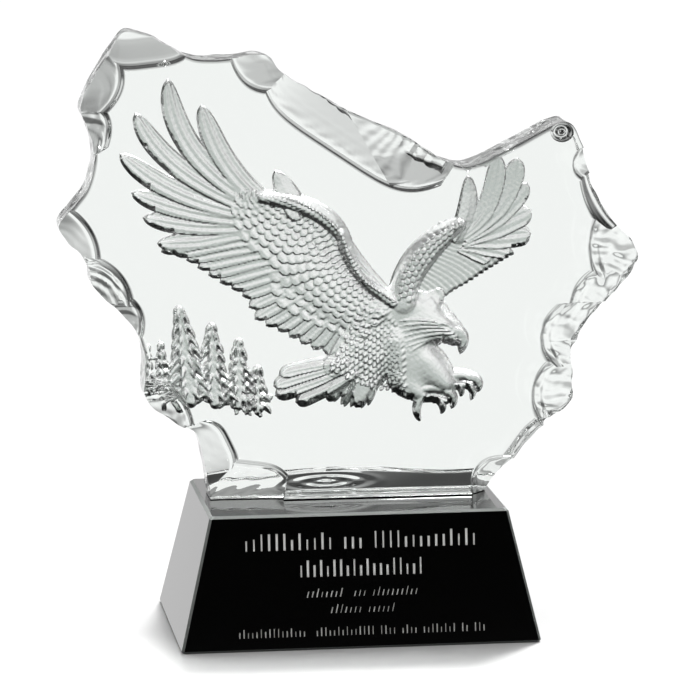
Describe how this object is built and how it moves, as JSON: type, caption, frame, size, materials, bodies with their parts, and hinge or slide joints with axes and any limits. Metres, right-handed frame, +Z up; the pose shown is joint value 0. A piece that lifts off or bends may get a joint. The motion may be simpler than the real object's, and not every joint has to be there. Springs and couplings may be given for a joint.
{
  "type": "crystal eagle sculpture",
  "caption": "Desk award: a clear rock-shaped crystal plaque with a frosted eagle and pines hollowed into its back, standing on a black glass base with engraved rows.",
  "frame": {"origin": "centre of the base's underside, where it rests on a table", "axes": "+Z up, front towards -Y, so that the eagle faces +X"},
  "size_m": [0.2121, 0.0836, 0.218],
  "materials": {
    "crystal": "polished, with a satin-frosted relief",
    "black_glass": "polished"
  },
  "bodies": {
    "root": {"crystal_plaque": "crystal", "black_base": "black_glass"}
  },
  "joints": []
}
